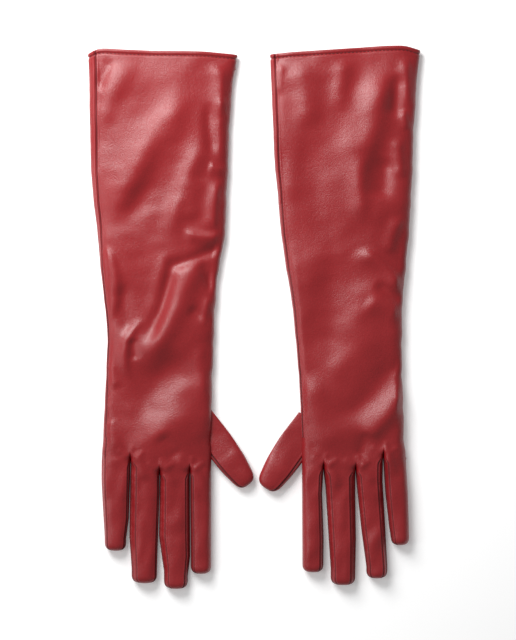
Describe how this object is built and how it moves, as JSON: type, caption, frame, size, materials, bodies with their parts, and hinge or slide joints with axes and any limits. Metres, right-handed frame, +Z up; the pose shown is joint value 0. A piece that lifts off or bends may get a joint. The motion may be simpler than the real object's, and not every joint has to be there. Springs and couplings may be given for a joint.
{
  "type": "opera gloves",
  "caption": "Pair of elbow-length dress gloves in smooth leather, cut in back and palm panels with fourchettes, set-in thumbs, hemmed cuffs and a knitted lining.",
  "frame": {"origin": "on the surface the gloves lie on, under the middle of the pair's bounding box", "axes": "+Z up, away from the surface; +Y towards the cuffs; +X towards the left-hand glove"},
  "size_m": [0.2648, 0.432, 0.012],
  "materials": {
    "leather": "smooth satin, very fine grain",
    "knit_lining": "fine matte knit",
    "thread": "twisted sewing thread"
  },
  "bodies": {
    "right_sleeve": {"right_sleeve_back": "leather", "right_sleeve_palm": "leather", "right_sleeve_lining": "knit_lining", "right_cuff_hem": "leather", "right_cuff_stitches": "thread", "right_side_seam_allowance": "leather"},
    "right_hand": {"right_hand_back": "leather", "right_hand_palm": "leather", "right_hand_lining": "knit_lining"},
    "right_thumb": {"right_thumb_outer": "leather", "right_thumb_inner": "leather", "right_thumb_lining": "knit_lining"},
    "right_index": {"right_index_back": "leather", "right_index_palm": "leather", "right_index_fourchettes": "leather", "right_index_lining": "knit_lining"},
    "right_middle": {"right_middle_back": "leather", "right_middle_palm": "leather", "right_middle_fourchettes": "leather", "right_middle_lining": "knit_lining"},
    "right_ring": {"right_ring_back": "leather", "right_ring_palm": "leather", "right_ring_fourchettes": "leather", "right_ring_lining": "knit_lining"},
    "right_little": {"right_little_back": "leather", "right_little_palm": "leather", "right_little_fourchettes": "leather", "right_little_lining": "knit_lining"},
    "left_sleeve": {"left_sleeve_back": "leather", "left_sleeve_palm": "leather", "left_sleeve_lining": "knit_lining", "left_cuff_hem": "leather", "left_cuff_stitches": "thread", "left_side_seam_allowance": "leather"},
    "left_hand": {"left_hand_back": "leather", "left_hand_palm": "leather", "left_hand_lining": "knit_lining"},
    "left_thumb": {"left_thumb_outer": "leather", "left_thumb_inner": "leather", "left_thumb_lining": "knit_lining"},
    "left_index": {"left_index_back": "leather", "left_index_palm": "leather", "left_index_fourchettes": "leather", "left_index_lining": "knit_lining"},
    "left_middle": {"left_middle_back": "leather", "left_middle_palm": "leather", "left_middle_fourchettes": "leather", "left_middle_lining": "knit_lining"},
    "left_ring": {"left_ring_back": "leather", "left_ring_palm": "leather", "left_ring_fourchettes": "leather", "left_ring_lining": "knit_lining"},
    "left_little": {"left_little_back": "leather", "left_little_palm": "leather", "left_little_fourchettes": "leather", "left_little_lining": "knit_lining"}
  },
  "joints": [
    {"name": "right_wrist_bend", "type": "hinge", "parent": "right_sleeve", "child": "right_hand", "pos_m": [-0.075, -0.0276, 0.006], "axis": [-1, 0, 0], "range_deg": [0, 60]},
    {"name": "right_index_curl", "type": "hinge", "parent": "right_hand", "child": "right_index", "pos_m": [-0.0425, -0.117, 0.005], "axis": [1, 0, 0], "range_deg": [-25, 75]},
    {"name": "right_middle_curl", "type": "hinge", "parent": "right_hand", "child": "right_middle", "pos_m": [-0.0626, -0.1185, 0.005], "axis": [1, 0, 0], "range_deg": [-25, 75]},
    {"name": "right_ring_curl", "type": "hinge", "parent": "right_hand", "child": "right_ring", "pos_m": [-0.0865, -0.117, 0.005], "axis": [1, 0, 0], "range_deg": [-25, 75]},
    {"name": "right_little_curl", "type": "hinge", "parent": "right_hand", "child": "right_little", "pos_m": [-0.1097, -0.11, 0.005], "axis": [1, 0, 0], "range_deg": [-25, 75]},
    {"name": "right_thumb_fold", "type": "hinge", "parent": "right_hand", "child": "right_thumb", "pos_m": [-0.0286, -0.1, 0.005], "axis": [0, 1, 0], "range_deg": [-30, 60]},
    {"name": "left_wrist_bend", "type": "hinge", "parent": "left_sleeve", "child": "left_hand", "pos_m": [0.076, -0.0276, 0.006], "axis": [-1, 0, 0], "range_deg": [0, 60]},
    {"name": "left_index_curl", "type": "hinge", "parent": "left_hand", "child": "left_index", "pos_m": [0.0465, -0.116, 0.005], "axis": [1, 0, 0], "range_deg": [-25, 75]},
    {"name": "left_middle_curl", "type": "hinge", "parent": "left_hand", "child": "left_middle", "pos_m": [0.0686, -0.117, 0.005], "axis": [1, 0, 0], "range_deg": [-25, 75]},
    {"name": "left_ring_curl", "type": "hinge", "parent": "left_hand", "child": "left_ring", "pos_m": [0.0938, -0.115, 0.005], "axis": [1, 0, 0], "range_deg": [-25, 75]},
    {"name": "left_little_curl", "type": "hinge", "parent": "left_hand", "child": "left_little", "pos_m": [0.1144, -0.106, 0.005], "axis": [1, 0, 0], "range_deg": [-25, 75]},
    {"name": "left_thumb_fold", "type": "hinge", "parent": "left_hand", "child": "left_thumb", "pos_m": [0.0326, -0.103, 0.005], "axis": [0, -1, 0], "range_deg": [-30, 60]},
    {"name": "pair_apart", "type": "slide", "parent": "right_sleeve", "child": "left_sleeve", "axis": [1, 0, 0], "range_m": [0, 0.06]}
  ]
}
